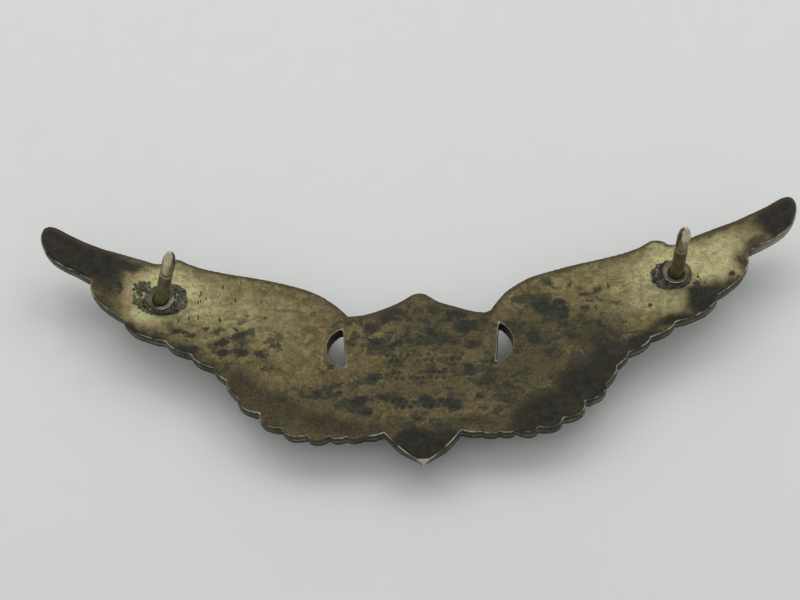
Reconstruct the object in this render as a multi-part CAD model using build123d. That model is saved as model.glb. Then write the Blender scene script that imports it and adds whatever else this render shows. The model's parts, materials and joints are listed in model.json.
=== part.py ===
from build123d import *
import math
import os

os.makedirs("parts", exist_ok=True)

# Pilot wings pin lying on its front, so its back and its two clutch posts face up.
# +X runs along the wing span, +Y towards the top edge of the wings, +Z out of the back.
# Millimetres and degrees. The origin is under the middle of the pin, at its lowest level.

# Wing plate
half_span = 38.0                # centre line to wing tip
plate_thickness = 1.4           # at the shield; the bow of the front thins the tips a little
back_bow_radius = 350.0         # the wings curl back from the shield
front_bow_radius = 330.0
covert_relief = 0.4             # each row of front feathers stands this much prouder
shield_peak_y = 5.12            # the shield's upper point, between the wings
shield_neck_x = 7.05            # where the shield's shoulder meets the wing
vee_corner = (3.67, -10.5)      # where the lowest feather meets the shield
blunt_tip = (0.65, -13.5)       # the point of the shield is filed flat this wide

# Half-moon piercings beside the shield
piercing_flat_x = 7.5
piercing_outer_x = 9.16
piercing_top_y = 1.2
piercing_bottom_y = -3.1

# Applied shield
shield_thickness = 2.4          # at the centre, from its face to the wing plate
shield_half_width = 5.9
shield_top_y = 3.4
shield_bottom_y = -11.7
rim_width = 0.75
field_depth = 0.6               # recess inside the rim, filled with enamel
enamel_thickness = 0.45
star_centre_y = -3.4
star_long = 3.6                 # centre to the vertical points
star_short = 2.5                # centre to the side points
star_waist = 0.75

# Clutch posts
post_radius = 0.65
post_length = 8.4
point_length = 1.3
point_radius = 0.18
neck_height = 5.1               # level of the turned groove above the plate
neck_radius = 0.49
neck_width = 0.56
post_root = 0.4                 # extra length that is trimmed to the plate

# Collar round each post, and the solder round each collar
flange_radius = 1.55
flange_height = 0.25
cup_radius = 1.36
cup_height = 0.6
cup_mouth_radius = 1.22
cup_floor_height = 0.24
cup_floor_radius = 0.8
solder_radius = 2.05
solder_height = 0.22

# Heights at the centre line
plate_front_z = shield_thickness
plate_back_z = shield_thickness + plate_thickness
blank_height = 16.0             # taller than anything in the pin

# Notches between the feather ends along the lower edge, from the wing tip to the shield:
# x, y and how far the feather after the notch swells beyond the straight line to the next.
lower_notches = [
    (32.6, 7.25, 0.90),
    (29.3, 2.77, 0.72),
    (24.93, 0.08, 0.32),
    (22.44, -1.43, 0.32),
    (20.15, -2.98, 0.20),
    (18.96, -4.35, 0.26),
    (17.76, -6.31, 0.58),
    (15.6, -8.03, 0.68),
    (13.41, -9.74, 0.55),
    (11.0, -10.56, 0.48),
    (8.86, -10.64, 0.30),
    (7.24, -10.8, 0.22),
    (5.43, -10.73, 0.15),
    (vee_corner[0], vee_corner[1], 0.0),
]

# The two rows of raised feathers on the front, by the notches of their lower edges.
covert_rows = [
    [
        (37.0, 11.6, 0.5), (33.6, 9.3, 0.5), (30.4, 6.7, 0.5), (27.2, 4.3, 0.5), (24.0, 2.3, 0.5),
        (20.9, 0.3, 0.5), (18.0, -1.9, 0.5), (15.2, -3.9, 0.5), (12.4, -5.3, 0.5), (9.9, -6.0, 0.4),
        (7.6, -6.2, 0.0),
    ],
    [
        (31.5, 10.4, 0.45), (28.7, 8.5, 0.45), (25.8, 6.9, 0.45), (22.8, 5.7, 0.45),
        (19.8, 4.6, 0.45), (16.8, 3.4, 0.45), (13.9, 2.1, 0.45), (11.2, 1.3, 0.0),
    ],
]


def feather_edge(notches):
    """Scalloped edge: one rounded feather end between each notch and the next."""
    ends = []
    for (x0, y0, swell), (x1, y1, _) in zip(notches, notches[1:]):
        start = Vector(x0, y0)
        end = Vector(x1, y1)
        chord = end - start
        outward = Vector(-chord.Y, chord.X).normalized() * swell
        shoulder = start + chord * 0.15 + outward * 1.5
        belly = start + chord * 0.62 + outward * 1.2
        ends.append(Bezier(start, shoulder, belly, end))
    return ends


def both_sides(half):
    """The half on +X and its mirror image, as one piece."""
    return half + mirror(half, about=Plane.YZ)


def plate_half_face():
    """One half of the outline of the wing plate, shield included."""
    neck = (shield_neck_x, 2.68)
    dip = (25.9, 9.05)
    tip_start = (36.2, 13.25)
    tip_end = (35.0, 8.5)
    shoulder = Spline(
        [(0, shield_peak_y), (1.2, 4.62), (3.7, 3.34), neck],
        tangents=[(1, 0), (1, 0.05)],
    )
    wrist = [(21.4, 8.9), (22.8, 9.5), (23.85, 9.72), (24.8, 9.36)]
    upper_edge = Spline(
        [neck, (9.2, 5.0), (12.3, 6.55), (17.5, 7.9)] + wrist + [dip],
        tangents=[(0.62, 0.78), (1, 0)],
    )
    leading_feather = Spline(
        [dip, (27.1, 9.48), (28.5, 10.1), (32.5, 11.45), tip_start],
        tangents=[(1, 0), (0.87, 0.49)],
    )
    tip_extreme = (half_span, 12.3)
    tip_crown = Bezier(tip_start, (37.1, 13.75), (half_span, 13.75), tip_extreme)
    tip_feather = Bezier(tip_extreme, (half_span, 10.6), (36.6, 9.2), tip_end)
    tip_underside = Line(tip_end, lower_notches[0][:2])
    vee_side = ThreePointArc(vee_corner, (2.35, -12.08), blunt_tip)
    blunt_end = Line(blunt_tip, (0, blunt_tip[1]))
    centre_line = Line((0, blunt_tip[1]), (0, shield_peak_y))
    edges = [shoulder, upper_edge, leading_feather, tip_crown, tip_feather, tip_underside]
    edges += feather_edge(lower_notches) + [vee_side, blunt_end, centre_line]
    return make_face(Wire(edges))


def covert_half_face(notches):
    """Everything above one scalloped line, to be kept only where the plate is."""
    outer = notches[0][:2]
    inner = notches[-1][:2]
    top = 20.0
    edges = feather_edge(notches)
    edges += [
        Line(inner, (inner[0], top)),
        Line((inner[0], top), (outer[0] + 4, top)),
        Line((outer[0] + 4, top), outer),
    ]
    return make_face(Wire(edges))


def bow_cylinder(radius, lowest_z):
    """Round bar along Y that touches one level at the centre line and rises towards the tips."""
    bar = Cylinder(radius, 60, rotation=(90, 0, 0))
    return Pos(0, 0, lowest_z + radius) * bar


def space_behind_plate():
    return bow_cylinder(back_bow_radius, plate_back_z)


def space_behind_front(relief=0.0):
    """Everything behind the front face of the plate, or of a row of feathers in relief."""
    return bow_cylinder(front_bow_radius, plate_front_z - relief)


def bowed_layer(face, relief):
    """The face as a bowed sheet, from the back of the plate to its front plus the relief."""
    blank = extrude(face, blank_height)
    return (blank & space_behind_front(relief)) - space_behind_plate()


def piercing():
    """Half-moon hole beside the shield, flat towards the shield."""
    top = (piercing_flat_x, piercing_top_y)
    bottom = (piercing_flat_x - 0.22, piercing_bottom_y)
    middle = (piercing_outer_x, (piercing_top_y + piercing_bottom_y) / 2 - 0.05)
    outline = Wire([ThreePointArc(top, middle, bottom), Line(bottom, top)])
    return extrude(make_face(outline), blank_height)


def wing_plate():
    half = plate_half_face()
    plate = bowed_layer(half, 0)
    for row, notches in enumerate(covert_rows, start=1):
        raised = half & covert_half_face(notches)
        plate += bowed_layer(raised, row * covert_relief)
    plate -= piercing()
    return both_sides(plate)


def shield_face(inset):
    """Outline of the applied shield, drawn in by an even inset."""
    side = shield_half_width - inset
    top = shield_top_y - inset
    bottom = shield_bottom_y + inset * 1.4
    corner = (side, top - 1.9)
    shoulder = Spline([(0, top), (side * 0.52, top - 1.5), corner], tangents=[(1, -0.1), (1, -0.05)])
    flank = Line(corner, (side, -3.6))
    lower = Spline([(side, -3.6), (side * 0.72, -7.9), (0, bottom)], tangents=[(0, -1), (-0.72, -0.7)])
    centre_line = Line((0, bottom), (0, top))
    return both_sides(make_face(Wire([shoulder, flank, lower, centre_line])))


def compass_star():
    """Four-pointed star in outline."""
    corners = []
    for quarter in range(4):
        reach = star_long if quarter % 2 == 0 else star_short
        angle = math.radians(90 * quarter + 90)
        waist_angle = angle + math.radians(45)
        corners.append((reach * math.cos(angle), star_centre_y + reach * math.sin(angle)))
        corners.append((star_waist * math.cos(waist_angle), star_centre_y + star_waist * math.sin(waist_angle)))
    return make_face(Polyline(*corners, close=True))


def applied_shield():
    """Shield with a raised rim and star, its back shaped to the bowed plate."""
    body = extrude(shield_face(0), shield_thickness * 1.2) - space_behind_front()
    recess = extrude(shield_face(rim_width) - compass_star(), field_depth)
    return body - recess


def shield_enamel():
    """Enamel that fills the recess to just under the rim and round the star."""
    field = shield_face(rim_width) - compass_star()
    return Pos(0, 0, field_depth - enamel_thickness) * extrude(field, enamel_thickness)


def plate_back_at(x):
    return plate_back_z + back_bow_radius - math.sqrt(back_bow_radius**2 - x**2)


def on_plate(x, y):
    """Place on the back of the plate, square to its surface."""
    lean = -math.degrees(math.asin(x / back_bow_radius))
    return Pos(x, y, plate_back_at(x)) * Rot(0, lean, 0)


def turned(profile):
    """Solid of revolution about Z from a radius and height outline."""
    outline = Polyline(*[(radius, 0, height) for radius, height in profile], close=True)
    return revolve(make_face(outline), Axis.Z)


def trimmed_to_plate(piece):
    return piece & space_behind_plate()


def clutch_post(x, y, lean_x, lean_y):
    """Straight pin with a turned neck and a pointed end, leaning by the two angles."""
    neck_low = neck_height - neck_width / 2
    neck_high = neck_height + neck_width / 2
    profile = [
        (0, -post_root),
        (post_radius, -post_root),
        (post_radius, neck_low),
        (neck_radius, neck_low + 0.12),
        (neck_radius, neck_high - 0.12),
        (post_radius, neck_high),
        (post_radius, post_length - point_length),
        (post_radius * 0.72, post_length - point_length * 0.35),
        (point_radius, post_length),
        (0, post_length),
    ]
    foot = Pos(x, y, plate_back_at(x))
    return trimmed_to_plate(foot * Rot(-lean_y, lean_x, 0) * turned(profile))


def post_collar(x, y, post):
    """Stepped cup that seats the post: a thin flange below and a dished cup above."""
    profile = [
        (0, -post_root),
        (flange_radius, -post_root),
        (flange_radius, flange_height),
        (cup_radius, flange_height + 0.05),
        (cup_radius, cup_height - 0.1),
        (cup_radius - 0.1, cup_height),
        (cup_mouth_radius, cup_height),
        (cup_floor_radius, cup_floor_height),
        (0, cup_floor_height),
    ]
    return trimmed_to_plate(on_plate(x, y) * turned(profile)) - post


def solder_fillet(x, y, run_x, run_y):
    """Low ring of solder round the flange, which ran out further on one side."""
    pool = [
        (0, -post_root),
        (solder_radius, -post_root),
        (solder_radius, 0.04),
        (solder_radius - 0.2, solder_height * 0.7),
        (flange_radius, solder_height),
        (0, solder_height),
    ]
    flange = on_plate(x, y) * Cylinder(flange_radius, 4)
    return trimmed_to_plate(on_plate(x + run_x, y + run_y) * turned(pool)) - flange


# Each post was soldered on by hand: its place, its lean towards +X and +Y, and where its solder ran.
posts = {
    "left": (-25.65, 4.65, 15.0, 3.2, 0.42, 0.25),
    "right": (25.45, 5.45, 2.0, -1.0, -0.42, 0.1),
}

pieces = {
    "wing_plate": wing_plate(),
    "shield": applied_shield(),
    "shield_enamel": shield_enamel(),
}
for name, (x, y, lean_x, lean_y, run_x, run_y) in posts.items():
    post = clutch_post(x, y, lean_x, lean_y)
    pieces[name + "_post"] = post
    pieces[name + "_post_collar"] = post_collar(x, y, post)
    pieces[name + "_solder"] = solder_fillet(x, y, run_x, run_y)

for name, piece in pieces.items():
    export_step(piece, f"parts/{name}.step")
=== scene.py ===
import json
import random
from math import atan2, ceil, cos, degrees, exp, hypot, pi, radians, sin, sqrt

import bmesh
import bpy
import numpy as np
from mathutils import Matrix, Vector, noise
from mathutils.bvhtree import BVHTree
from mathutils.kdtree import KDTree


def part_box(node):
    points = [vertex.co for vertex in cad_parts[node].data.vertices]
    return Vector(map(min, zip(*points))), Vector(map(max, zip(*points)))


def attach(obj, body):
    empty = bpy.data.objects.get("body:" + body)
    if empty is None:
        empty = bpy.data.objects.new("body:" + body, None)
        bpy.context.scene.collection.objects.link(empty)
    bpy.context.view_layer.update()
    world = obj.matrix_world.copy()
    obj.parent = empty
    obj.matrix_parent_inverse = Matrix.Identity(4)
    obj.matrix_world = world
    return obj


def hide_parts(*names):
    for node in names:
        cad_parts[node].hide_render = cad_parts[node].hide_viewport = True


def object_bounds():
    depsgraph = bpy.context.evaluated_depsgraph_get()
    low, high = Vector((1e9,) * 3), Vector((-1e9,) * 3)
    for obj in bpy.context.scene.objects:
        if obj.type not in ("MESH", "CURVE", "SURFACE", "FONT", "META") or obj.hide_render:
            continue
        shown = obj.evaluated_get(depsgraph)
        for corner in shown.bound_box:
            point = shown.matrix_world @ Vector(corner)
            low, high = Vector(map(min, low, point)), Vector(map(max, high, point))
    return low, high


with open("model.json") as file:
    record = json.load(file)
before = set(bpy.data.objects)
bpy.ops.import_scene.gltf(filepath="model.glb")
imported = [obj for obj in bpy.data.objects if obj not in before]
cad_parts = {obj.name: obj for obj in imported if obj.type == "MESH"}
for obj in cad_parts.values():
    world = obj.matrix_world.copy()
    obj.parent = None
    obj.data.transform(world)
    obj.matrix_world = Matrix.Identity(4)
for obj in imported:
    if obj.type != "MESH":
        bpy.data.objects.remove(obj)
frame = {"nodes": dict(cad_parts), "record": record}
cad_low, cad_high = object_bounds()

# Everything is worked out in millimetres in the row frame and scaled to metres when a mesh is made.
MM = 0.001
ROOT = "root"
# Without a seed the noise vectors differ in each run.
noise.seed_set(7)

# The plate's back and front are shallow bows: the level of each at the centre line, its radius.
BACK_LEVEL = 3.8
BACK_RADIUS = 350.0
FRONT_LEVEL = 2.4
FRONT_RADIUS = 330.0
PLATE_THICKNESS = BACK_LEVEL - FRONT_LEVEL

mounts = {m["name"]: m for m in frame["record"]["mounts"] if m["kind"] == "pin"}


def back_z(x):
    """Level of the plate's back at a distance from the centre line, in mm."""
    return BACK_LEVEL + BACK_RADIUS - np.sqrt(BACK_RADIUS**2 - np.square(x))


# ---- meshes

def mesh_arrays(obj):
    """Vertex places in mm and edges of an object's mesh."""
    mesh = obj.data
    co = np.empty(len(mesh.vertices) * 3)
    mesh.vertices.foreach_get("co", co)
    edges = np.empty(len(mesh.edges) * 2, dtype=np.int64)
    mesh.edges.foreach_get("vertices", edges)
    return co.reshape(-1, 3) / MM, edges.reshape(-1, 2)


def put_places(obj, co):
    """Moves an object's vertices to places in mm."""
    obj.data.vertices.foreach_set("co", (co * MM).astype(np.float32).ravel())
    obj.data.update()


def put_fields(obj, **fields):
    """Numbers for each vertex, which the materials read by name."""
    for name, values in fields.items():
        field = obj.data.attributes.new(name, "FLOAT", "POINT")
        field.data.foreach_set("value", np.asarray(values, dtype=np.float32))


def smooth_places(co, edges, weight, rounds):
    """Pulls vertices towards the mean of their neighbours, by a weight for each vertex."""
    count = len(co)
    a, b = edges[:, 0], edges[:, 1]
    share = np.bincount(a, minlength=count) + np.bincount(b, minlength=count)
    share = np.maximum(share, 1)
    for _ in range(rounds):
        mean = np.empty_like(co)
        for k in range(3):
            total = np.bincount(a, co[b, k], count) + np.bincount(b, co[a, k], count)
            mean[:, k] = total / share
        co = co + (mean - co) * weight[:, None]
    return co


def ramp(low, high, value):
    """Smooth rise from 0 to 1 as the value goes from low to high, which may be the lower one."""
    t = np.clip((np.asarray(value) - low) / (high - low), 0, 1)
    return t * t * (3 - 2 * t)


def bell(value, middle, width):
    """Peak of 1 at the middle, fading on both sides."""
    return np.exp(-((value - middle) / width) ** 2)


def fractal(points, scale, seed, octaves=3):
    """Signed fractal noise for each point."""
    shift = Vector((seed * 17.3, seed * 5.1, seed * 11.7))
    return np.array([
        noise.fractal(Vector(p) * scale + shift, 0.8, 2.1, octaves) for p in points
    ])


def warp(points, scale, amount, seed):
    """Noise vector for each point, to be added to its place."""
    shift = Vector((seed * 3.7, seed * 13.1, seed * 7.9))
    return np.array([noise.noise_vector(Vector(p) * scale + shift) for p in points]) * amount


def linked(name, data):
    """A new object in the scene."""
    obj = bpy.data.objects.new(name, data)
    bpy.context.scene.collection.objects.link(obj)
    return obj


def remeshed(name, bm, voxel):
    """An object with an even mesh over a bmesh in mm, which is freed."""
    mesh = bpy.data.meshes.new(name)
    bm.to_mesh(mesh)
    bm.free()
    obj = linked(name, mesh)
    remesh = obj.modifiers.new("even", "REMESH")
    remesh.mode = "VOXEL"
    remesh.voxel_size = voxel
    remesh.use_smooth_shade = True
    bpy.context.view_layer.update()
    evaluated = obj.evaluated_get(bpy.context.evaluated_depsgraph_get())
    even = bpy.data.meshes.new_from_object(evaluated)
    obj.modifiers.clear()
    obj.data = even
    even.name = name
    bpy.data.meshes.remove(mesh)
    even.transform(Matrix.Scale(MM, 4))
    return obj


def closed_copy(node, name, voxel):
    """An evenly meshed copy of a CAD node, with its points' places pulled back on to the node,
    the node's normals there, the copy's edges, and samples of the node's sharp edges."""
    source = frame["nodes"][node]
    bm = bmesh.new()
    bm.from_mesh(source.data)
    bmesh.ops.remove_doubles(bm, verts=bm.verts, dist=1e-7)
    bmesh.ops.triangulate(bm, faces=bm.faces)
    bmesh.ops.recalc_face_normals(bm, faces=bm.faces)
    bmesh.ops.scale(bm, vec=(1 / MM,) * 3, verts=bm.verts)
    bm.normal_update()
    tree = BVHTree.FromBMesh(bm)
    sharp = sharp_samples(bm)
    obj = remeshed(name, bm, voxel)
    co, edges = mesh_arrays(obj)
    facing = np.empty_like(co)
    for i, p in enumerate(co):
        co[i], facing[i], _, _ = tree.find_nearest(Vector(p))
    obj.data.polygons.foreach_set("use_smooth", [True] * len(obj.data.polygons))
    return obj, co, facing, edges, sharp


def sharp_samples(bm, spacing=0.06, angle=radians(35)):
    """Points along the sharp edges of a mesh in mm, each with the normals of its two faces."""
    samples = []
    for edge in bm.edges:
        if len(edge.link_faces) != 2:
            continue
        one, other = (f.normal for f in edge.link_faces)
        if one.angle(other, 0) < angle:
            continue
        a, b = (v.co for v in edge.verts)
        steps = max(1, ceil((b - a).length / spacing))
        for k in range(steps + 1):
            samples.append((a.lerp(b, k / steps), one.copy(), other.copy()))
    return samples


def distance_to(samples, points):
    """Distance from each point to the nearest sample, and that sample's number."""
    tree = KDTree(len(samples))
    for i, (place, _, _) in enumerate(samples):
        tree.insert(place, i)
    tree.balance()
    found = [tree.find(Vector(p)) for p in points]
    return np.array([f[2] for f in found]), np.array([f[1] for f in found])


def plan_distance(samples, numbers, points):
    """Distance from each point to its own sample, seen from above."""
    places = np.array([(place.x, place.y) for place, _, _ in samples])[numbers]
    return np.hypot(*(points[:, :2] - places).T)


def new_piece(name, places, faces):
    """A smooth-shaded mesh from places in mm, riding on the part's one body."""
    mesh = bpy.data.meshes.new(name)
    mesh.from_pydata([tuple(c * MM for c in p) for p in places], [], faces)
    mesh.validate()
    mesh.polygons.foreach_set("use_smooth", [True] * len(mesh.polygons))
    obj = linked(name, mesh)
    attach(obj, ROOT)
    return obj


# ---- materials

def linear(card):
    """Linear colour from the 0 to 255 values of a colour card."""
    shares = [c / 255 for c in card]
    return [c / 12.92 if c <= 0.04045 else ((c + 0.055) / 1.055) ** 2.4 for c in shares] + [1.0]


class Shader:
    """Short calls for building one node material."""

    def __init__(self, name):
        self.material = bpy.data.materials.new(name)
        self.material.use_nodes = True
        self.tree = self.material.node_tree
        self.tree.nodes.clear()
        coords = self.node("TexCoord")
        mapping = self.node("Mapping", {"Vector": coords.outputs["Object"]})
        mapping.inputs["Scale"].default_value = (1 / MM,) * 3
        self.mm = mapping.outputs["Vector"]

    def node(self, kind, inputs=None, **settings):
        made = self.tree.nodes.new("ShaderNode" + kind)
        for key, value in settings.items():
            setattr(made, key, value)
        for key, value in (inputs or {}).items():
            self.feed(made.inputs[key], value)
        return made

    def feed(self, socket, value):
        """Gives a socket another one's output, a field by its name, a colour card or a number."""
        if isinstance(value, str):
            value = self.field(value)
        if isinstance(value, bpy.types.NodeSocket):
            self.tree.links.new(value, socket)
        else:
            socket.default_value = linear(value) if isinstance(value, tuple) else value

    def field(self, name):
        return self.node("Attribute", attribute_name=name).outputs["Fac"]

    def stretched(self, scale, turn=0.0):
        """Coordinates in mm turned about z and scaled on each axis."""
        mapping = self.node("Mapping", {"Vector": self.mm})
        mapping.inputs["Scale"].default_value = scale
        mapping.inputs["Rotation"].default_value = (0, 0, turn)
        return mapping.outputs["Vector"]

    def noise(self, scale, detail=4.0, rough=0.55, distortion=0.0, vector=None):
        made = self.node("TexNoise", {
            "Vector": vector or self.mm, "Scale": scale, "Detail": detail,
            "Roughness": rough, "Distortion": distortion,
        })
        return made.outputs["Fac"]

    def cells(self, scale, vector=None):
        made = self.node("TexVoronoi", {"Vector": vector or self.mm, "Scale": scale})
        return made.outputs["Distance"]

    def maths(self, operation, a, b):
        made = self.node("Math", {0: a, 1: b}, operation=operation)
        return made.outputs[0]

    def times(self, a, b):
        return self.maths("MULTIPLY", a, b)

    def highest(self, a, b):
        return self.maths("MAXIMUM", a, b)

    def step(self, value, low, high, to_low=0.0, to_high=1.0):
        """Smooth change from one value to another as the input goes from low to high."""
        made = self.node("MapRange", {
            "Value": value, "From Min": low, "From Max": high,
            "To Min": to_low, "To Max": to_high,
        }, interpolation_type="SMOOTHSTEP")
        return made.outputs["Result"]

    def mix(self, factor, a, b):
        """Mix of two colours."""
        return self.node("Mix", {0: factor, 6: a, 7: b}, data_type="RGBA").outputs[2]

    def coat(self, base, colour, value, low, high, most=1.0):
        """The colour over the base, up to a share of it as the value goes from low to high."""
        return self.mix(self.step(value, low, high, 0.0, most), base, colour)

    def blend(self, factor, a, b):
        """Mix of two numbers."""
        return self.node("Mix", {0: factor, 2: a, 3: b}, data_type="FLOAT").outputs[0]

    def broken(self, value, *noises):
        """The value with noises added, each centred on 0 and scaled by its own amount."""
        for noise_value, amount in noises:
            swing = self.maths("SUBTRACT", noise_value, 0.5)
            value = self.maths("ADD", value, self.times(swing, amount))
        return value

    def bumps(self, *layers):
        """Bumps on one another: a height from 0 to 1 and a depth in mm, which sinks if negative."""
        inputs = {"Strength": 1.0}
        for height, depth in layers:
            inputs.update(Height=height, Distance=abs(depth) * MM)
            made = self.node("Bump", inputs, invert=depth < 0)
            inputs["Normal"] = made.outputs["Normal"]
        return inputs["Normal"]

    def finish(self, base, roughness, metallic, normal, **constants):
        inputs = {"Base Color": base, "Roughness": roughness, "Metallic": metallic, "Normal": normal}
        surface = self.node("BsdfPrincipled", inputs)
        for key, value in constants.items():
            surface.inputs[key.replace("_", " ")].default_value = value
        output = self.node("OutputMaterial")
        self.tree.links.new(surface.outputs["BSDF"], output.inputs["Surface"])
        return self.material


def wing_material():
    """Old silver under a patina, from the fields that the wing plate's mesh carries."""
    s = Shader("patinated_silver")
    broad = s.noise(0.16, 3)
    cloud = s.noise(0.5, 5, 0.6)
    mottle = s.noise(1.3, 7, 0.7, 0.4)
    blotch = s.noise(0.8, 8, 0.72, 0.6)
    fine = s.noise(4.5, 6, 0.72)
    grain = s.noise(14.0, 3, 0.6)
    brushed = s.noise(1.0, 4, 0.6, vector=s.stretched((1.2, 9.0, 9.0), radians(14)))
    tan = s.noise(0.9, 4, 0.6, vector=s.stretched((1, 1, 1), 1.0))
    streaks = s.noise(0.9, 5, 0.65, vector=s.stretched((0.6, 1.8, 1.0)))
    patches = s.noise(0.62, 3, 0.6, 0.5, vector=s.stretched((0.8, 1.15, 1.0)))

    # Brown and olive film over the whole back
    brown = s.coat((103, 93, 62), (84, 75, 50), cloud, 0.38, 0.62)
    brown = s.coat(brown, (126, 114, 80), mottle, 0.46, 0.66)
    brown = s.coat(brown, (132, 116, 74), streaks, 0.54, 0.7, 0.6)
    brown = s.coat(brown, (54, 49, 34), fine, 0.5, 0.68, 0.7)
    # Paler film where the tarnish was cleaned off round the posts
    olive = s.coat((112, 104, 72), (132, 124, 88), mottle, 0.38, 0.62)
    olive = s.coat(olive, (74, 67, 44), fine, 0.5, 0.68, 0.7)
    pale = s.coat((145, 142, 103), (166, 162, 121), mottle, 0.38, 0.62)
    pale = s.coat(pale, (150, 138, 102), tan, 0.48, 0.62, 0.7)
    pale = s.coat(pale, (98, 90, 60), fine, 0.5, 0.66, 0.75)
    cleaned = s.broken("pale", (mottle, 0.9), (fine, 1.0))
    base = s.coat(brown, olive, cleaned, 0.1, 0.7)
    pale_mask = s.step(cleaned, 0.55, 1.2)
    base = s.mix(pale_mask, base, pale)
    # Rosy and mint stains
    base = s.coat(base, (140, 116, 92), s.broken("rosy", (mottle, 1.2)), 0.2, 1.0, 0.5)
    mint = s.broken("mint", (mottle, 1.4), (fine, 0.8))
    base = s.coat(base, (148, 160, 114), mint, 0.3, 1.1, 0.7)
    # Soft charcoal shade towards the tips, the lower edge and the shield's point
    char = s.step(s.broken("char", (mottle, 1.0), (fine, 0.7)), 0.05, 1.0)
    charcoal = s.coat((35, 34, 30), (48, 46, 39), mottle, 0.4, 0.62)
    charcoal = s.coat(charcoal, (62, 58, 44), fine, 0.5, 0.7, 0.5)
    base = s.mix(char, base, charcoal)
    # Broken blue-black blotches: placed spots, and a loose scatter where the mottled field is strong
    spots = s.broken("spots", (blotch, 2.4), (fine, 1.2))
    spots = s.times(s.step(spots, 0.28, 0.75, 0, 0.95), s.step("spots", 0.0, 0.15))
    clouds = s.broken("mottled", (patches, 4.2), (streaks, 2.0), (fine, 0.7))
    clouds = s.times(s.step(clouds, 0.28, 0.85, 0, 0.8), s.step("mottled", 0.0, 0.3))
    blue_black = s.coat((34, 34, 31), (58, 59, 52), fine, 0.42, 0.62)
    base = s.mix(clouds, base, s.coat((42, 46, 42), (56, 56, 45), mottle, 0.42, 0.6))
    base = s.mix(spots, base, blue_black)
    # Pits, and short dark nicks in the cleaned areas
    pits = s.step(s.broken(s.cells(2.1), (fine, 0.3)), 0.08, 0.2, 1, 0)
    pits = s.times(pits, s.step(tan, 0.48, 0.56))
    nicks = s.cells(0.9, vector=s.stretched((2.8, 0.75, 1.0), radians(-40)))
    nicks = s.times(s.step(nicks, 0.14, 0.22, 1, 0), s.step("nicked", 0.2, 0.7))
    pits = s.highest(s.times(pits, 0.8), nicks)
    base = s.mix(pits, base, (48, 42, 30))
    # Struck marks hold light metal on their raised burrs and dirt in their bottoms
    base = s.coat(base, (44, 42, 34), "struck", 0.15, 0.8, 0.55)
    base = s.coat(base, (124, 114, 80), s.broken("struck", (fine, 0.5)), -0.1, -0.5, 0.3)
    # Rolled top edge and the wall round the plate
    top_rim = s.step(s.broken("top_rim", (mottle, 0.8)), 0.15, 0.75, 0.85, 0)
    base = s.mix(top_rim, base, s.mix(cloud, (52, 46, 36), (78, 68, 52)))
    wall_colour = s.coat((44, 43, 37), (80, 80, 68), mottle, 0.38, 0.62)
    wall_colour = s.mix("bare_wall", wall_colour, s.mix(mottle, (92, 97, 86), (158, 162, 146)))
    base = s.mix("wall", base, wall_colour)
    # Front of the feathers: polished ribs over dark recesses
    ribs = s.broken("relief", (mottle, 0.7))
    front_colour = s.coat((58, 54, 46), (196, 191, 174), ribs, 0.2, 0.8)
    base = s.mix("front", base, front_colour)
    # Bright worn line on the lower edge of the back and round the piercings, and a painted reflection
    # along the wall's step
    worn = s.step("low_rim", 0.03, 0.15, 1, 0)
    worn = s.times(worn, s.step(s.noise(0.7, 5, 0.65), 0.4, 0.56, 0.15, 1))
    ledge = s.times("ledge", s.step(cloud, 0.42, 0.62, 0.1, 0.6))
    hole = s.step("hole_rim", 0.03, 0.17, 0.6, 0)
    # The bright mask holds the worn line, the painted reflection along the step and the worn rims of
    # the piercings
    worn = s.highest(s.highest(worn, ledge), hole)
    base = s.mix(worn, base, (200, 195, 172))
    base = s.mix("facet", base, (196, 192, 172))

    dark = s.highest(s.highest(spots, clouds), char)
    rough = s.broken(s.blend(dark, s.blend(pale_mask, 0.5, 0.44), 0.5), (fine, 0.5))
    rough = s.blend("front", s.blend(worn, rough, 0.28), 0.3)
    metal = s.blend(dark, s.blend(pale_mask, 0.7, 0.8), 0.8)
    metal = s.blend("front", s.blend(worn, metal, 1.0), 0.95)

    normal = s.bumps((broad, 0.12), (mottle, 0.03), (brushed, 0.008), (grain, 0.006), (pits, -0.03))
    return s.finish(base, rough, metal, normal, Specular_IOR_Level=0.25)


def silver_material():
    """Lightly tarnished polished silver, darker in its recesses."""
    s = Shader("polished_silver_front")
    cloud = s.noise(0.7, 5, 0.6)
    fine = s.noise(6.0, 5, 0.65)
    scratches = s.noise(1.0, 3, 0.7, vector=s.stretched((1.0, 14.0, 6.0), 0.6))
    base = s.coat((206, 203, 190), (186, 180, 158), cloud, 0.35, 0.65)
    base = s.coat(base, (62, 56, 46), s.broken("recess", (fine, 0.6)), 0.3, 0.8)
    base = s.coat(base, (120, 108, 84), fine, 0.6, 0.8, 0.5)
    rough = s.broken(s.blend("recess", 0.24, 0.5), (fine, 0.2))
    return s.finish(base, rough, 1.0, s.bumps((cloud, 0.02), (scratches, 0.006)))


def enamel_material():
    """Deep red vitreous enamel with fine bubbles and a little orange peel."""
    s = Shader("red_enamel")
    cloud = s.noise(0.5, 4)
    peel = s.noise(1.6, 3)
    bubbles = s.step(s.cells(3.5), 0.05, 0.14, 1, 0)
    base = s.mix(cloud, (112, 8, 16), (150, 14, 24))
    base = s.mix(s.times(bubbles, 0.5), base, (70, 6, 10))
    normal = s.bumps((peel, 0.02), (bubbles, 0.008))
    rough = s.step(s.noise(4.0, 4), 0.3, 0.7, 0.06, 0.16)
    return s.finish(base, rough, 0.0, normal,
                    Coat_Weight=1.0, Coat_Roughness=0.05, Specular_IOR_Level=0.6)


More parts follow.
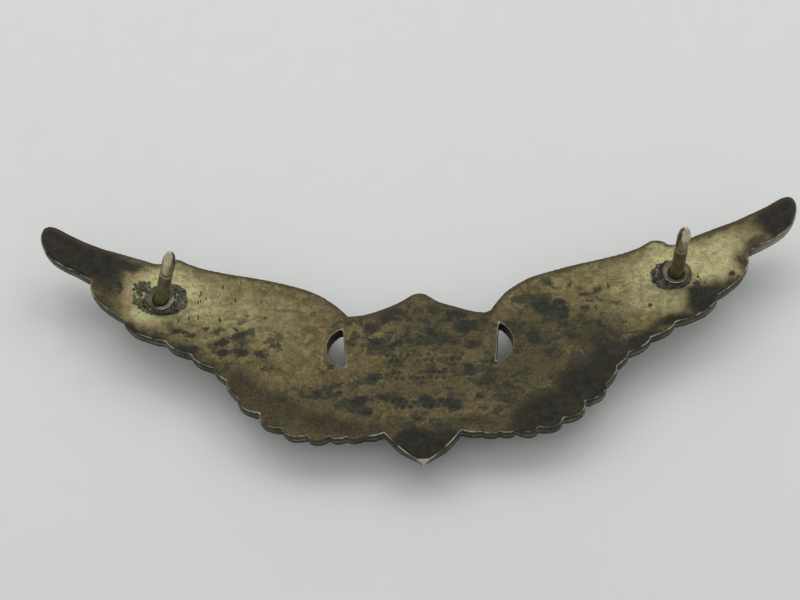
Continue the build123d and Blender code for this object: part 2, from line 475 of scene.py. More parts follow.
def post_material():
    """Plated brass: pale where handled, brown film lower down, drawing marks along its length, painted
    shade down one side, and bright rings at its neck that are worn metal with a painted highlight on
    them.
    """
    s = Shader("worn_post_metal")
    cloud = s.noise(1.1, 5, 0.65)
    fine = s.noise(7.0, 5, 0.7)
    drawn = s.noise(1.0, 4, 0.7, vector=s.stretched((7.0, 7.0, 0.8)))
    film = s.coat((118, 110, 72), (86, 80, 53), cloud, 0.35, 0.65)
    film = s.coat(film, (60, 55, 38), fine, 0.5, 0.7, 0.6)
    clean = s.coat((206, 198, 168), (172, 160, 124), drawn, 0.38, 0.66)
    clean = s.coat(clean, (110, 98, 72), fine, 0.58, 0.76, 0.7)
    cleaner = s.step(s.broken("high", (cloud, 0.6)), 0.3, 0.62)
    base = s.mix(cleaner, film, clean)
    # Painted shade down one side of the post
    streak = s.broken("streak", (fine, 0.7))
    base = s.coat(base, (66, 58, 44), streak, 0.35, 0.75, 0.85)
    # Bright rings at the neck: worn metal with a painted highlight on it
    base = s.mix("bright", base, (204, 197, 172))
    rough = s.broken(s.blend(cleaner, 0.46, 0.3), (fine, 0.25))
    rough = s.blend("bright", rough, 0.2)
    return s.finish(base, rough, s.blend(cleaner, 0.3, 0.85), s.bumps((drawn, 0.02), (fine, 0.012)))


def collar_material():
    """Turned collar: dark film in the cup and steps, bright metal on the rims, and painted light on
    one side of the cup.
    """
    s = Shader("worn_collar_metal")
    cloud = s.noise(1.4, 5, 0.65)
    fine = s.noise(8.0, 5, 0.7)
    bright = s.step(s.broken("bright", (cloud, 0.9)), 0.35, 0.75)
    film = s.coat((96, 92, 70), (58, 55, 44), cloud, 0.35, 0.65)
    film = s.coat(film, (34, 30, 24), fine, 0.5, 0.72, 0.7)
    metal = s.coat((214, 211, 194), (168, 162, 138), fine, 0.4, 0.7)
    film = s.mix("dish", film, s.mix(cloud, (140, 132, 108), (112, 100, 80)))
    base = s.mix(bright, film, metal)
    base = s.mix("pit", base, (30, 20, 14))
    rough = s.broken(s.blend(bright, 0.5, 0.4), (fine, 0.25))
    return s.finish(base, rough, 0.55, s.bumps((cloud, 0.03), (fine, 0.015)))


def solder_material():
    """Dark oxidised solder with burnt flux, painted highlights on the tops of its lumps, and a few
    bright beads.
    """
    s = Shader("oxidised_solder")
    lumps = s.noise(1.8, 5, 0.7, 0.4)
    fine = s.noise(7.0, 5, 0.7)
    beads = s.step(s.broken(s.cells(3.2), (fine, 0.5)), 0.14, 0.26, 1, 0)
    base = s.coat((37, 35, 29), (100, 98, 82), lumps, 0.42, 0.6)
    base = s.coat(base, (28, 25, 20), fine, 0.52, 0.68, 0.8)
    # Painted highlights on the tops of the high lumps
    light = s.step(s.times("high", fine), 0.32, 0.5, 0, 0.85)
    base = s.mix(light, base, (168, 164, 138))
    base = s.mix(s.times(beads, s.step(lumps, 0.48, 0.56)), base, (160, 157, 134))
    rough = s.step(fine, 0.3, 0.7, 0.5, 0.8)
    return s.finish(base, rough, s.blend(light, 0.35, 0.9), s.bumps((lumps, 0.1), (fine, 0.05)))


def verdigris_material():
    """Powdery green and cream copper salts."""
    s = Shader("verdigris")
    lumps = s.noise(2.4, 5, 0.7)
    fine = s.noise(9.0, 5, 0.75)
    base = s.coat((72, 84, 46), (122, 132, 84), lumps, 0.42, 0.62)
    base = s.coat(base, (46, 50, 32), fine, 0.48, 0.66)
    base = s.mix("cream", base, s.mix(fine, (196, 184, 150), (142, 120, 92)))
    return s.finish(base, 0.82, 0.0, s.bumps((lumps, 0.12), (fine, 0.06)), Specular_IOR_Level=0.25)


def floor_material():
    """Pale tabletop, very slightly uneven."""
    s = Shader("pale_tabletop")
    cloud = s.noise(0.012, 3)
    fine = s.noise(0.35, 4)
    base = s.mix(cloud, (226, 228, 227), (219, 221, 220))
    normal = s.bumps((fine, 0.01))
    return s.finish(base, s.step(fine, 0.3, 0.7, 0.36, 0.46), 0.0, normal, Specular_IOR_Level=0.35)


# ---- wing plate

# Stains on the back, listed one by one: x, y, half-width and half-height in mm, strength, and a
# turn in degrees where there is one
CHARCOAL_AREAS = [
    (-37, 11.5, 6.2, 3.4, 1.2, -30), (-32.6, 9.2, 3.8, 2.7, 1.2, -28),
    (-30.6, 9.4, 2.6, 1.5, 0.8, -15), (-31, 7.3, 1.7, 3.2, 0.85, 10), (-29.2, 8.9, 2.2, 0.9, 1, -15),
    (-31.3, 4.6, 1.7, 1.4, 0.7, -45), (-28, 0.9, 3.4, 0.75, 0.9, -14),
    (-23.2, -1, 2.2, 1.1, 0.75, -28), (-20.5, -3, 2, 0.9, 0.7, -35), (-17.3, -5.2, 3.6, 2.1, 0.7, -50),
    (-13.6, -7.8, 5.6, 2.4, 0.68, -34), (-8.6, -9.4, 6, 1.8, 0.72, -6), (-4, -9.9, 3.4, 1.2, 0.65),
    (0, -11.9, 3.9, 1.9, 1.25), (0, -13.3, 1.6, 1.2, 0.8), (5.5, -9.9, 4, 1.2, 0.65),
    (12, -9.1, 4.8, 2.6, 1.05, 22), (15.8, -6.5, 3.6, 3.2, 1.05, 40), (18, -3.7, 2.8, 2.4, 0.95, 45),
    (21.2, -1.7, 2.6, 1.1, 0.95, 28), (25, 0.1, 2.6, 0.8, 0.95, 14), (28.2, 2.3, 2.3, 1.6, 1.15, 40),
    (30.3, 3.9, 1.6, 0.8, 0.8, 25), (32.1, 6.3, 0.9, 1.5, 0.8, 35), (33.6, 8.4, 1.8, 0.8, 0.75, 35),
    (36.8, 11.4, 3.2, 3, 1.25, 40), (34.6, 10.9, 2.2, 1.2, 0.7, 30), (30.5, 10.6, 3.5, 0.5, 0.6, 20),
    (11, -2, 4.6, 5.6, 0.6), (-1, 2.8, 7, 2, 0.5), (2.5, 0.5, 6, 4, 0.55), (0, -5, 9, 5, 0.45),
    (-9, -7.5, 6, 3, 0.5), (8.5, -5.5, 4.5, 3.5, 0.55), (16.5, -0.5, 3.8, 3, 0.65),
]
PALE_AREAS = [
    (-25.5, 6, 4.6, 3.4, 1.25, -12), (-22, 4.2, 4, 3.4, 0.9), (-27.2, 3, 2.6, 1.5, 1.1, -20),
    (-18.2, 3.4, 4, 3, 0.75, -15), (-14.5, 2.8, 3.4, 2.8, 0.55, -10), (-20.2, 7, 4.5, 1.1, 0.55, -8),
    (-12.2, -0.4, 2.6, 2, 0.4), (-15, 0.6, 2, 1.6, 0.5), (-22.5, 0.2, 2.6, 1.4, 0.55, -25),
    (25.5, 7, 4.8, 3, 1.25, 12), (29.5, 7, 3.8, 2.9, 1.1, 25), (22, 4.6, 3.6, 3.4, 0.85),
    (27.8, 5.4, 3.2, 1.6, 1, 20), (24.5, 2.6, 3.2, 1.6, 0.95, 15), (19, 5.4, 3.6, 2.4, 0.5, 5),
    (19, 2, 3.2, 2.2, 0.5, 10), (32.4, 9, 2.4, 1.7, 0.75, 28), (15, 5.6, 3, 1.4, 0.35),
]
ROSY_AREAS = [
    (-28.3, 7.9, 1.5, 0.8, 0.9, -30), (-29, 5.6, 0.8, 1.3, 0.8), (-26.4, 8.8, 1.6, 0.4, 0.8, -15),
    (-26, 1.7, 1.8, 0.5, 0.6, -10), (-14.4, 3.4, 1.6, 1.4, 0.55), (-16.2, 1.6, 1.2, 0.8, 0.5),
    (31.6, 5.6, 1.6, 1.3, 0.8, 30), (33.4, 9.3, 1.6, 1.3, 0.7, 30), (27.6, 4.2, 1.6, 0.5, 0.7, 20),
    (-9.4, 4.4, 1.5, 0.8, 0.5, -35), (18, 6, 1.2, 0.8, 0.35), (31.2, 8.2, 0.9, 0.7, 0.5),
]
MINT_AREAS = [
    (-26.4, 2.9, 2, 0.75, 1.1, -8), (-28.1, 3.9, 0.9, 0.7, 0.8), (-24, 2.9, 1, 0.5, 0.7, -15),
    (-28, 5.3, 0.5, 0.9, 0.7), (26.5, 9.2, 1.6, 0.5, 0.35, 10), (24, 3.3, 2, 0.7, 0.5, 5),
    (22.7, 4.8, 0.7, 1.5, 0.4), (-13.4, 6.2, 1, 0.4, 0.3),
]
MOTTLED_AREAS = [
    (0, 1.2, 8, 3.6, 0.55), (0, -5.5, 8.5, 5, 0.42), (12.5, 1, 5.5, 5, 0.5),
    (-17, -1, 4.6, 3, 0.4, -20), (-9, -5.5, 5, 3, 0.32), (10, -6.5, 5.5, 3.6, 0.4),
    (17, 3.4, 3.6, 2.8, 0.34), (-22, 0.2, 3.4, 1.8, 0.3, -20), (-14.8, 4.6, 3.4, 2.2, 0.22),
    (17, -1.5, 4.5, 2.5, 0.45, 20), (-10, 2, 3, 4, 0.15),
]
NICKED_AREAS = [(-22.3, 4.2, 2.4, 2, 1), (-18, 5.4, 3, 1.8, 0.7, -10), (-20.5, 2.4, 2.4, 1.2, 0.6)]
DARK_SPOTS = [
    (-29.75, 6.3, 0.5, 1, 0.9, 5), (-27.3, 4.6, 0.35, 0.6, 0.7), (-23.9, 2.5, 0.2, 0.5, 0.8),
    (-23.45, 1.2, 0.8, 0.42, 1, -8), (-22.6, 0.7, 0.7, 0.3, 0.8), (-23, -0.8, 1.2, 0.5, 0.65, -10),
    (-21.1, 1.5, 0.42, 0.35, 1, -20), (-19.4, -0.2, 0.75, 0.6, 1, 10), (-19.4, -1.3, 0.7, 0.6, 1),
    (-17.7, 0.7, 0.95, 0.42, 1, 8), (-18.2, 1.4, 0.25, 0.4, 0.7), (-17.3, -1.4, 0.85, 0.6, 0.85),
    (-15.6, -1.7, 0.7, 0.5, 0.6), (-14.2, -0.8, 0.6, 0.7, 0.55, 20), (-14.6, -3.2, 0.9, 0.5, 0.5),
    (-15.2, 2.6, 0.4, 0.3, 0.7), (-14.8, 5.3, 0.5, 0.3, 0.5), (-17, 2.9, 0.3, 0.25, 0.6),
    (-10.3, -6.2, 0.8, 0.5, 0.75), (-8, -6.1, 0.5, 0.35, 0.8), (-9.2, -3.4, 1.3, 0.4, 0.5),
    (-5.9, -7, 1.6, 0.5, 1, 22), (-5.3, -8.4, 0.6, 0.4, 0.8), (-3.6, -6.6, 0.8, 0.4, 0.7, -20),
    (-5, 1.2, 1, 0.9, 0.75), (-2.6, 2.6, 1.5, 1, 0.7, 15), (-4.6, -0.4, 1.2, 0.5, 0.75),
    (-2.3, -0.8, 0.8, 0.5, 0.7), (0.6, 1.9, 0.9, 0.7, 0.65), (1.4, 0.4, 1.4, 0.6, 0.7, -15),
    (3.4, 2.3, 1.2, 0.9, 0.85), (4.7, 1, 1.4, 0.8, 0.8, 20), (5.4, -1.1, 1.4, 0.7, 0.75),
    (2.6, -0.7, 0.9, 0.4, 0.65), (6.3, 1.7, 0.6, 0.8, 0.7), (-6.4, 0.4, 0.6, 0.7, 0.5),
    (-4.6, -4.4, 0.8, 0.7, 0.75), (-2.2, -3.2, 1.3, 0.4, 0.6), (1.6, -4, 1.3, 0.5, 0.65),
    (4.7, -3.9, 0.8, 0.7, 0.8), (6.2, -3, 0.8, 0.5, 0.65), (0, -5.4, 1, 0.35, 0.55),
    (-2.2, -7.3, 1.3, 0.7, 0.85), (0.7, -7.4, 1.6, 0.7, 0.9), (3, -7.6, 1.1, 0.7, 0.85),
    (-0.3, -8.9, 1, 0.6, 0.7), (1.6, -9.6, 1.4, 0.6, 0.6), (5.8, -6.8, 0.7, 0.5, 0.8, 25),
    (8, -5.9, 1, 0.5, 0.6, 30), (9.8, -7.2, 1.2, 0.6, 0.55), (7.3, -3, 0.35, 0.6, 0.8),
    (12.5, 2.7, 1.5, 1.1, 0.85), (11, -0.6, 0.9, 1.1, 0.75), (14.2, 2, 0.7, 0.8, 1),
    (13.6, 3.2, 0.6, 0.5, 0.9), (10.2, 2.2, 0.6, 0.5, 0.5), (12.8, -2.6, 1.2, 0.7, 0.6),
    (16.3, 3.9, 0.75, 0.3, 0.8, 15), (16.4, 2.3, 0.7, 0.4, 0.8, 20), (17.4, 2.2, 0.4, 0.3, 0.6),
    (18.75, 4.65, 0.2, 0.35, 0.9, 10), (19.3, 4.3, 0.4, 0.1, 0.6), (17.55, 0.4, 0.35, 0.5, 0.8),
    (22.6, 2.15, 0.28, 0.5, 0.9), (15.2, -0.6, 0.9, 0.5, 0.6), (17.8, -1.6, 1.2, 0.9, 0.75, 30),
    (27.3, 4.3, 0.45, 0.4, 1), (27.4, 3.4, 1, 0.6, 1.05, -30), (28.4, 2.7, 0.7, 0.8, 1),
    (27.2, 2.2, 0.7, 0.5, 0.8), (30.9, 5.05, 0.4, 0.4, 1.05), (31.5, 4.6, 0.5, 0.3, 0.7, 30),
    (15, 8, 1.5, 0.35, 0.5, 8),
]


def stain(points, areas, softness):
    """The most that any area covers each point, fading over its border."""
    cover = np.zeros(len(points))
    for x, y, half_x, half_y, strength, *turn in areas:
        a = radians(sum(turn))
        dx, dy = points[:, 0] - x, points[:, 1] - y
        along = (dx * cos(a) + dy * sin(a)) / half_x
        across = (dy * cos(a) - dx * sin(a)) / half_y
        reach = np.hypot(along, across)
        cover = np.maximum(cover, strength * ramp(1 + softness, 1 - softness, reach))
    return cover


# Bands of punched dots on the back of the shield: first x, last x, y
STRUCK_BANDS = [(-4.9, 4.4, -2.4), (-4.4, 4.3, -4.4), (-3.1, 3.0, -7.6)]
DOT_SPACING = 0.66
DOT_RADIUS = 0.27
DOT_WOBBLE = 0.06
STRUCK_DEPTH = 0.06


def struck_depth(points):
    """Depth of the struck marks: above 0 in a mark, below 0 on the burr round it."""
    depth = np.zeros(len(points))
    wobble = random.Random(3)
    for first, last, middle in STRUCK_BANDS:
        for k in range(int((last - first) / DOT_SPACING) * 2):
            x = first + k * DOT_SPACING / 2 + wobble.uniform(-DOT_WOBBLE, DOT_WOBBLE)
            y = middle + (0.3 if k % 2 else -0.3) + wobble.uniform(-DOT_WOBBLE, DOT_WOBBLE)
            force = wobble.uniform(0.15, 1.0)
            reach = np.hypot(points[:, 0] - x, points[:, 1] - y) / DOT_RADIUS
            burr = ramp(1.9, 1.4, reach) * ramp(1.0, 1.35, reach)
            mark = ramp(1.2, 0.4, reach) - 0.45 * burr
            depth = np.where(np.abs(mark) > np.abs(depth), mark * force, depth)
    return depth


# Feathers on the front: the grooves between them run from the notches towards this point.
FAN_CENTRE = (4.5, 7.5)
FEATHER_ROWS = [
    [(32.67, 6.85), (29.3, 2.77), (24.93, 0.08), (22.44, -1.43), (20.15, -2.98), (18.96, -4.35),
     (17.76, -6.31), (15.6, -8.03), (13.41, -9.74), (11, -10.56), (8.86, -10.64), (7.24, -10.8),
     (5.43, -10.73), (3.67, -10.5)],
    [(37, 11.6), (33.6, 9.3), (30.4, 6.7), (27.2, 4.3), (24, 2.3), (20.9, 0.3), (18, -1.9),
     (15.2, -3.9), (12.4, -5.3), (9.9, -6), (7.6, -6.2)],
    [(31.5, 10.4), (28.7, 8.5), (25.8, 6.9), (22.8, 5.7), (19.8, 4.6), (16.8, 3.4), (13.9, 2.1),
     (11.2, 1.3)],
]
ROW_STEP = 0.4
BARB_SPACING = 0.62
# Where the two raised rows die away beside the shield: end and length of the slope, in mm of x
ROW_ENDS = [(7.6, 1.6), (11.2, 2.6)]


def row_slopes(co):
    """How far each row of feathers has died away at each point: 0 on the row, 1 at its end."""
    slopes = [ramp(end + length, end + 0.15, np.abs(co[:, 0])) for end, length in ROW_ENDS]
    return [np.zeros(len(co))] + slopes


def feather_relief(co, facing_front, front_z):
    """Height in mm of the carved feathers, on the points that facing_front marks."""
    shapes = []
    row = np.clip(np.round((front_z - co[:, 2]) / ROW_STEP), 0, 2)
    dx = np.abs(co[:, 0]) - FAN_CENTRE[0]
    dy = co[:, 1] - FAN_CENTRE[1]
    angle = np.degrees(np.arctan2(dy, dx))
    reach = np.hypot(dx, dy)
    for notches in FEATHER_ROWS:
        at = [degrees(atan2(y - FAN_CENTRE[1], x - FAN_CENTRE[0])) for x, y in notches]
        count = np.interp(-angle, -np.array(at), np.arange(len(at)))
        t = count - np.floor(count)
        crown = np.sin(np.pi * t) ** 0.6
        shaft = bell(t, 0.5, 0.07)
        aside = np.abs(t - 0.5)
        barbs = 0.5 + 0.5 * np.sin(2 * pi * (reach / BARB_SPACING + aside * 2.6))
        barbs = barbs * ramp(0.06, 0.16, aside)
        barbs = barbs * ramp(0.0, 0.12, t) * ramp(1.0, 0.88, t)
        shapes.append(0.13 * crown + 0.06 * shaft + 0.045 * barbs)
    height = np.zeros(len(co))
    for number, slope in enumerate(row_slopes(co)):
        under = shapes[max(number - 1, 0)]
        height = np.where(row == number, shapes[number] * (1 - slope) + under * slope, height)
    inside = ramp(6.2, 7.4, np.abs(co[:, 0]))
    return height * facing_front * inside


# How far the hand-dressed top edge lies below the drawn outline: x, drop in mm
TOP_EDGE_DRESSING = [
    (-36.4, 0), (-34, 0.11), (-31.5, 0.21), (-28.3, 0.19), (-26.9, 0), (-24.9, -0.32), (-23.9, 0.06),
    (-23.2, 0.42), (-22, 0.43), (-20.4, 0.28), (-17.4, 0.26), (-9, 0.26), (-7.4, 0.05), (-6.8, 0),
    (-5, -0.08), (-3, 0), (0.7, 0.02), (1.9, 0.15), (3.5, 0), (5, 0), (6.5, 0.12), (7.3, -0.22),
    (8.5, -0.36), (9.4, -0.26), (11, -0.28), (13.4, -0.12), (17, 0), (20.5, 0.07), (22.2, 0.16),
    (23.4, -0.06), (25, 0), (27.2, -0.14), (28.4, -0.06), (32, -0.06), (33.3, -0.12), (35.2, -0.02),
]
DRESSING_REACH = 2.4
# The pierced half-moons' extent in x and y, in mm, and the slack used to find their edges
HOLE_FLAT_X, HOLE_ARC_X, HOLE_LOW_Y, HOLE_HIGH_Y = 7.15, 9.2, -3.2, 1.3
HOLE_SLACK = 0.1
# How far the point's wall moves in y at the front: half-widths, then moves, in mm
POINT_RUN = ((0.0, 0.66, 2.4), (-0.12, 0.36, 0.0))
HIGH_EDGE_RADIUS = 0.17
LOW_EDGE_RADIUS = 0.08
PLATE_VOXEL = 0.165
SHIELD_VOXEL = 0.1
# A face counts as back or front from this much of its normal along z.
LEVEL_NORMAL = 0.7
# Sharp edges this near the back's level are its rim.
RIM_TOLERANCE = 0.03
# The rolled edges and the step in the wall keep this far from the piercings.
HOLE_MARGIN = 0.6


def wing_plate():
    """The struck plate: edges, wall, feathers and struck marks, and the fields of its finish."""
    obj, co, facing, edges, sharp = closed_copy("wing_plate", "wing_plate_struck", PLATE_VOXEL)

    def wall_normal(sample):
        _, one, other = sample
        return one if abs(one.z) < abs(other.z) else other

    holes, low, high = [], [], []
    for sample in sharp:
        x, y, z = sample[0]
        if abs(z - back_z(x)) >= RIM_TOLERANCE:
            continue
        beside = HOLE_FLAT_X - HOLE_SLACK < abs(x) < HOLE_ARC_X + HOLE_SLACK
        if beside and HOLE_LOW_Y - HOLE_SLACK < y < HOLE_HIGH_Y + HOLE_SLACK:
            holes.append(sample)
        elif wall_normal(sample).y > 0.3:
            high.append(sample)
        else:
            low.append(sample)
    low_rim, low_at = distance_to(low, co)
    high_rim, high_at = distance_to(high, co)
    hole_rim, hole_at = distance_to(holes, co)
    is_back = facing[:, 2] > LEVEL_NORMAL
    is_front = facing[:, 2] < -LEVEL_NORMAL
    wall = ~is_back & ~is_front

    # Directions out of the plate, and distances from the rim along its back and down its wall
    nearest = np.where(low_rim < high_rim, low_at, high_at + len(low))
    walls = np.array([tuple(wall_normal(s)) for s in low + high])
    outward = walls[nearest]
    outward[:, 2] = 0
    inland = plan_distance(low + high, nearest, co)
    down = back_z(co[:, 0]) - co[:, 2]
    at_edge = (hole_rim > HOLE_MARGIN).astype(float)

    # Rolled upper edge and crisper lower edge
    radius = np.where(low_rim < high_rim, LOW_EDGE_RADIUS, HIGH_EDGE_RADIUS)
    turn = np.clip(1 - inland / radius, 0, 1) * pi / 4 * is_back * at_edge
    move_in = np.where(turn > 0, radius * (1 - np.sin(turn)) - inland, 0)
    move_down = np.where(turn > 0, radius * (1 - np.cos(turn)), 0)
    turn = np.clip(1 - down / radius, 0, 1) * pi / 4 * wall * at_edge
    move_in += np.where(turn > 0, radius * (1 - np.cos(turn)), 0)
    move_down += np.where(turn > 0, radius * (1 - np.sin(turn)) - down, 0)
    on_cad = co
    co = co - outward * move_in[:, None]
    co[:, 2] -= move_down
    ease = np.where(np.minimum(low_rim, high_rim) < 0.3, 0.15, 0) * at_edge
    ease = np.maximum(ease, ramp(0.25, 0.05, hole_rim) * 0.3)
    co = smooth_places(co, edges, ease, 3)

    # A faint step runs along the wall
    depth = np.clip(down / PLATE_THICKNESS, 0, 1.3)
    lean = 0.035 * ramp(0.48, 0.62, depth)
    co -= outward * (lean * ramp(1.3, 0.0, inland) * at_edge)[:, None]
    # A thin band along the wall's step, which gets a painted reflection
    ledge = bell(depth, 0.56, 0.07) * wall * (low_rim < high_rim + 0.5)

    # The top edge was dressed by hand, so the wings are not quite alike
    from_top = plan_distance(high, high_at, co)
    drop = np.interp(co[:, 0], *np.array(TOP_EDGE_DRESSING).T)
    co[:, 1] -= drop * ramp(DRESSING_REACH, 0, from_top)

    # The half-moons were pierced by hand: their straight sides lean, the right one is narrower
    from_hole = plan_distance(holes, hole_at, on_cad)
    out = np.clip((np.abs(co[:, 0]) - HOLE_FLAT_X) / (HOLE_ARC_X - HOLE_FLAT_X), 0, 1)
    up = np.clip((co[:, 1] - HOLE_LOW_Y) / (HOLE_HIGH_Y - HOLE_LOW_Y), 0, 1)
    right_shift = (1 - out) * (0.04 + 0.3 * up) - 0.1 * out
    shift = np.where(co[:, 0] > 0, right_shift, -0.15 * (1 - out) * up)
    co[:, 0] += shift * ramp(1.3, 0.1, from_hole)

    # The point of the shield runs down to a vee, under a small filed facet
    near_point = (co[:, 1] < -11.6) & (np.abs(co[:, 0]) < 2.4)
    share = np.clip(depth, 0, 1)
    run = np.interp(np.abs(co[:, 0]), *POINT_RUN)
    co[:, 1] += np.where(near_point, run * share * ramp(-11.8, -12.6, co[:, 1]), 0)
    facet = near_point & wall & (np.abs(co[:, 0]) < 0.66 * (1.08 - share)) & (co[:, 1] < -13.2)

    # Uneven casting, feathers and struck marks
    rough = fractal(co, 0.22, 1) * 0.035 + fractal(co, 0.9, 2) * 0.010
    away = ramp(0.0, 0.6, np.minimum(low_rim, high_rim))
    co[:, 2] += np.where(is_back, rough * (0.4 + 0.6 * away), 0)
    struck = struck_depth(co) * is_back
    co[:, 2] -= struck * STRUCK_DEPTH
    front_z = FRONT_LEVEL + FRONT_RADIUS - np.sqrt(FRONT_RADIUS**2 - co[:, 0] ** 2)
    # The raised rows slope away beside the shield instead of ending in a step
    level = np.clip((front_z - on_cad[:, 2]) / ROW_STEP, 0, 2)
    _, first, second = row_slopes(on_cad)
    upper = np.clip(level - 1, 0, 1)
    co[:, 2] += ROW_STEP * (upper * second + np.minimum(level, 1) * first)
    merged = wall & (level > 0.02) & (np.where(level > 1, second, first) > 0.5)
    is_front = is_front | merged
    wall = wall & ~merged
    relief = feather_relief(on_cad, is_front.astype(float), front_z)
    co[:, 2] -= relief
    put_places(obj, co)

    back = is_back.astype(float)
    bent = co + warp(co, 0.35, 0.7, 4) + warp(co, 1.3, 0.3, 5)
    put_fields(
        obj,
        pale=stain(bent, PALE_AREAS, 0.7),
        char=stain(bent, CHARCOAL_AREAS, 0.75),
        nicked=stain(bent, NICKED_AREAS, 0.5) * back,
        rosy=stain(bent, ROSY_AREAS, 0.5),
        mint=stain(bent, MINT_AREAS, 0.5),
    )
    bent = co + warp(co, 0.9, 0.25, 6) + warp(co, 2.6, 0.12, 7)
    far = 9  # further in mm than any rim's wear reaches
    put_fields(
        obj,
        spots=stain(bent, DARK_SPOTS, 0.6) * back * 0.92,
        mottled=stain(bent, MOTTLED_AREAS, 0.6) * back,
        struck=struck,
        low_rim=np.where(is_back | (depth < 0.2), low_rim, far),
        top_rim=np.where(is_back | wall, high_rim, far),
        hole_rim=np.where(is_back | (depth < 0.3), hole_rim, far),
        wall=wall & (depth > 0.12),
        front=is_front,
        relief=relief / 0.2,
        ledge=ledge,
        facet=facet,
        bare_wall=wall * ramp(32.5, 34.5, co[:, 0]) * (low_rim < high_rim),
    )
    obj.data.materials.append(wing_material())
    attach(obj, ROOT)
    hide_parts("wing_plate")


# ---- front of the shield

def applied_shield():
    """The shield on the front, worn on its edges and darker in its recess."""
    obj, co, facing, edges, sharp = closed_copy("shield", "shield_applied", SHIELD_VOXEL)
    near_edge, _ = distance_to(sharp, co)
    co = smooth_places(co, edges, ramp(0.25, 0.0, near_edge) * 0.4, 6)
    recess = ramp(0.25, 0.5, co[:, 2])
    co[:, 2] += np.where(facing[:, 2] < -LEVEL_NORMAL, fractal(co, 0.8, 11) * 0.012, 0)
    co[:, 2] = np.maximum(co[:, 2], 0.0)
    put_places(obj, co)
    put_fields(obj, recess=recess)
    obj.data.materials.append(silver_material())
    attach(obj, ROOT)
    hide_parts("shield")


def enamel_fill():
    """Fired enamel, which sinks a little away from the rim and creeps up where it meets it."""
    obj, co, facing, edges, sharp = closed_copy("shield_enamel", "shield_enamel_fired", SHIELD_VOXEL)
    near_edge, _ = distance_to(sharp, co)
    is_front = facing[:, 2] < -LEVEL_NORMAL
    co[:, 2] += np.where(is_front, 0.07 * ramp(0.0, 0.8, near_edge), 0)
    co = smooth_places(co, edges, np.full(len(co), 0.15), 3)
    put_places(obj, co)
    obj.data.materials.append(enamel_material())
    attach(obj, ROOT)
    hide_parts("shield_enamel")


# ---- posts, collars and solder

POST_RADIUS = 0.65
POST_LENGTH = 8.4
POINT_LENGTH = 1.3
NECK_HEIGHT = 5.1
NECK_RADIUS = 0.49
NECK_WIDTH = 0.56
GRIP_HEIGHT = (NECK_HEIGHT + NECK_WIDTH / 2 + POST_LENGTH - POINT_LENGTH) / 2
NICK_DEPTH = 0.16
AROUND = 72


def ring_faces(rings, around, closed=False):
    """Quads between rings of points that follow one another, and from the last to the first."""
    faces = []
    for j in range(rings if closed else rings - 1):
        one, other = j * around, (j + 1) % rings * around
        for k in range(around):
            after = (k + 1) % around
            faces.append((one + k, one + after, other + after, other + k))
    return faces


def turned(name, profile, place, shift):
    """Surface of revolution from radius and height pairs, set in place by a matrix in mm."""
    places = []
    for radius, height in profile:
        for k in range(AROUND):
            a = 2 * pi * k / AROUND
            p = Vector((radius * cos(a), radius * sin(a), height))
            places.append(place @ shift(p, a, height))
    faces = ring_faces(len(profile), AROUND)
    for start, flip in ((0, True), ((len(profile) - 1) * AROUND, False)):
        hub = len(places)
        places.append(sum(places[start:start + AROUND], Vector()) / AROUND)
        for k in range(AROUND):
            one, other = start + k, start + (k + 1) % AROUND
            faces.append((hub, other, one) if flip else (hub, one, other))
    return new_piece(name, places, faces)


def rounded(profile, radius, steps=5):
    """The profile with each inner corner replaced by a short arc-like run of points."""
    out = [profile[0]]
    for before, corner, after in zip(profile, profile[1:], profile[2:]):
        b, c, a = Vector(before), Vector(corner), Vector(after)
        r = min(radius, (b - c).length * 0.45, (a - c).length * 0.45)
        start, end = c + (b - c).normalized() * r, c + (a - c).normalized() * r
        for k in range(steps + 1):
            t = k / steps
            out.append(tuple(start * (1 - t) ** 2 + c * 2 * t * (1 - t) + end * t * t))
    out.append(profile[-1])
    return out


def filled(profile, spacing):
    """The profile with points added so that none are further apart than the spacing."""
    out = [profile[0]]
    for (r0, h0), (r1, h1) in zip(profile, profile[1:]):
        steps = max(1, ceil(hypot(r1 - r0, h1 - h0) / spacing))
        for k in range(1, steps + 1):
            out.append((r0 + (r1 - r0) * k / steps, h0 + (h1 - h0) * k / steps))
    return out


def axis_place(foot, axis):
    """Matrix that stands a turned piece on a foot point along an axis."""
    z = Vector(axis).normalized()
    x = Vector((1, 0, 0))
    x = (x - z * x.dot(z)).normalized()
    turn = Matrix((x, z.cross(x), z)).transposed().to_4x4()
    return Matrix.Translation(foot) @ turn


def turned_places(obj, place):
    """Where a turned piece's vertices are on its own axis: places, radii, heights and angles."""
    inverse = place.inverted()
    local = np.array([tuple(inverse @ (v.co / MM)) for v in obj.data.vertices])
    x, y, heights = local.T
    return local, np.hypot(x, y), heights, np.arctan2(y, x)


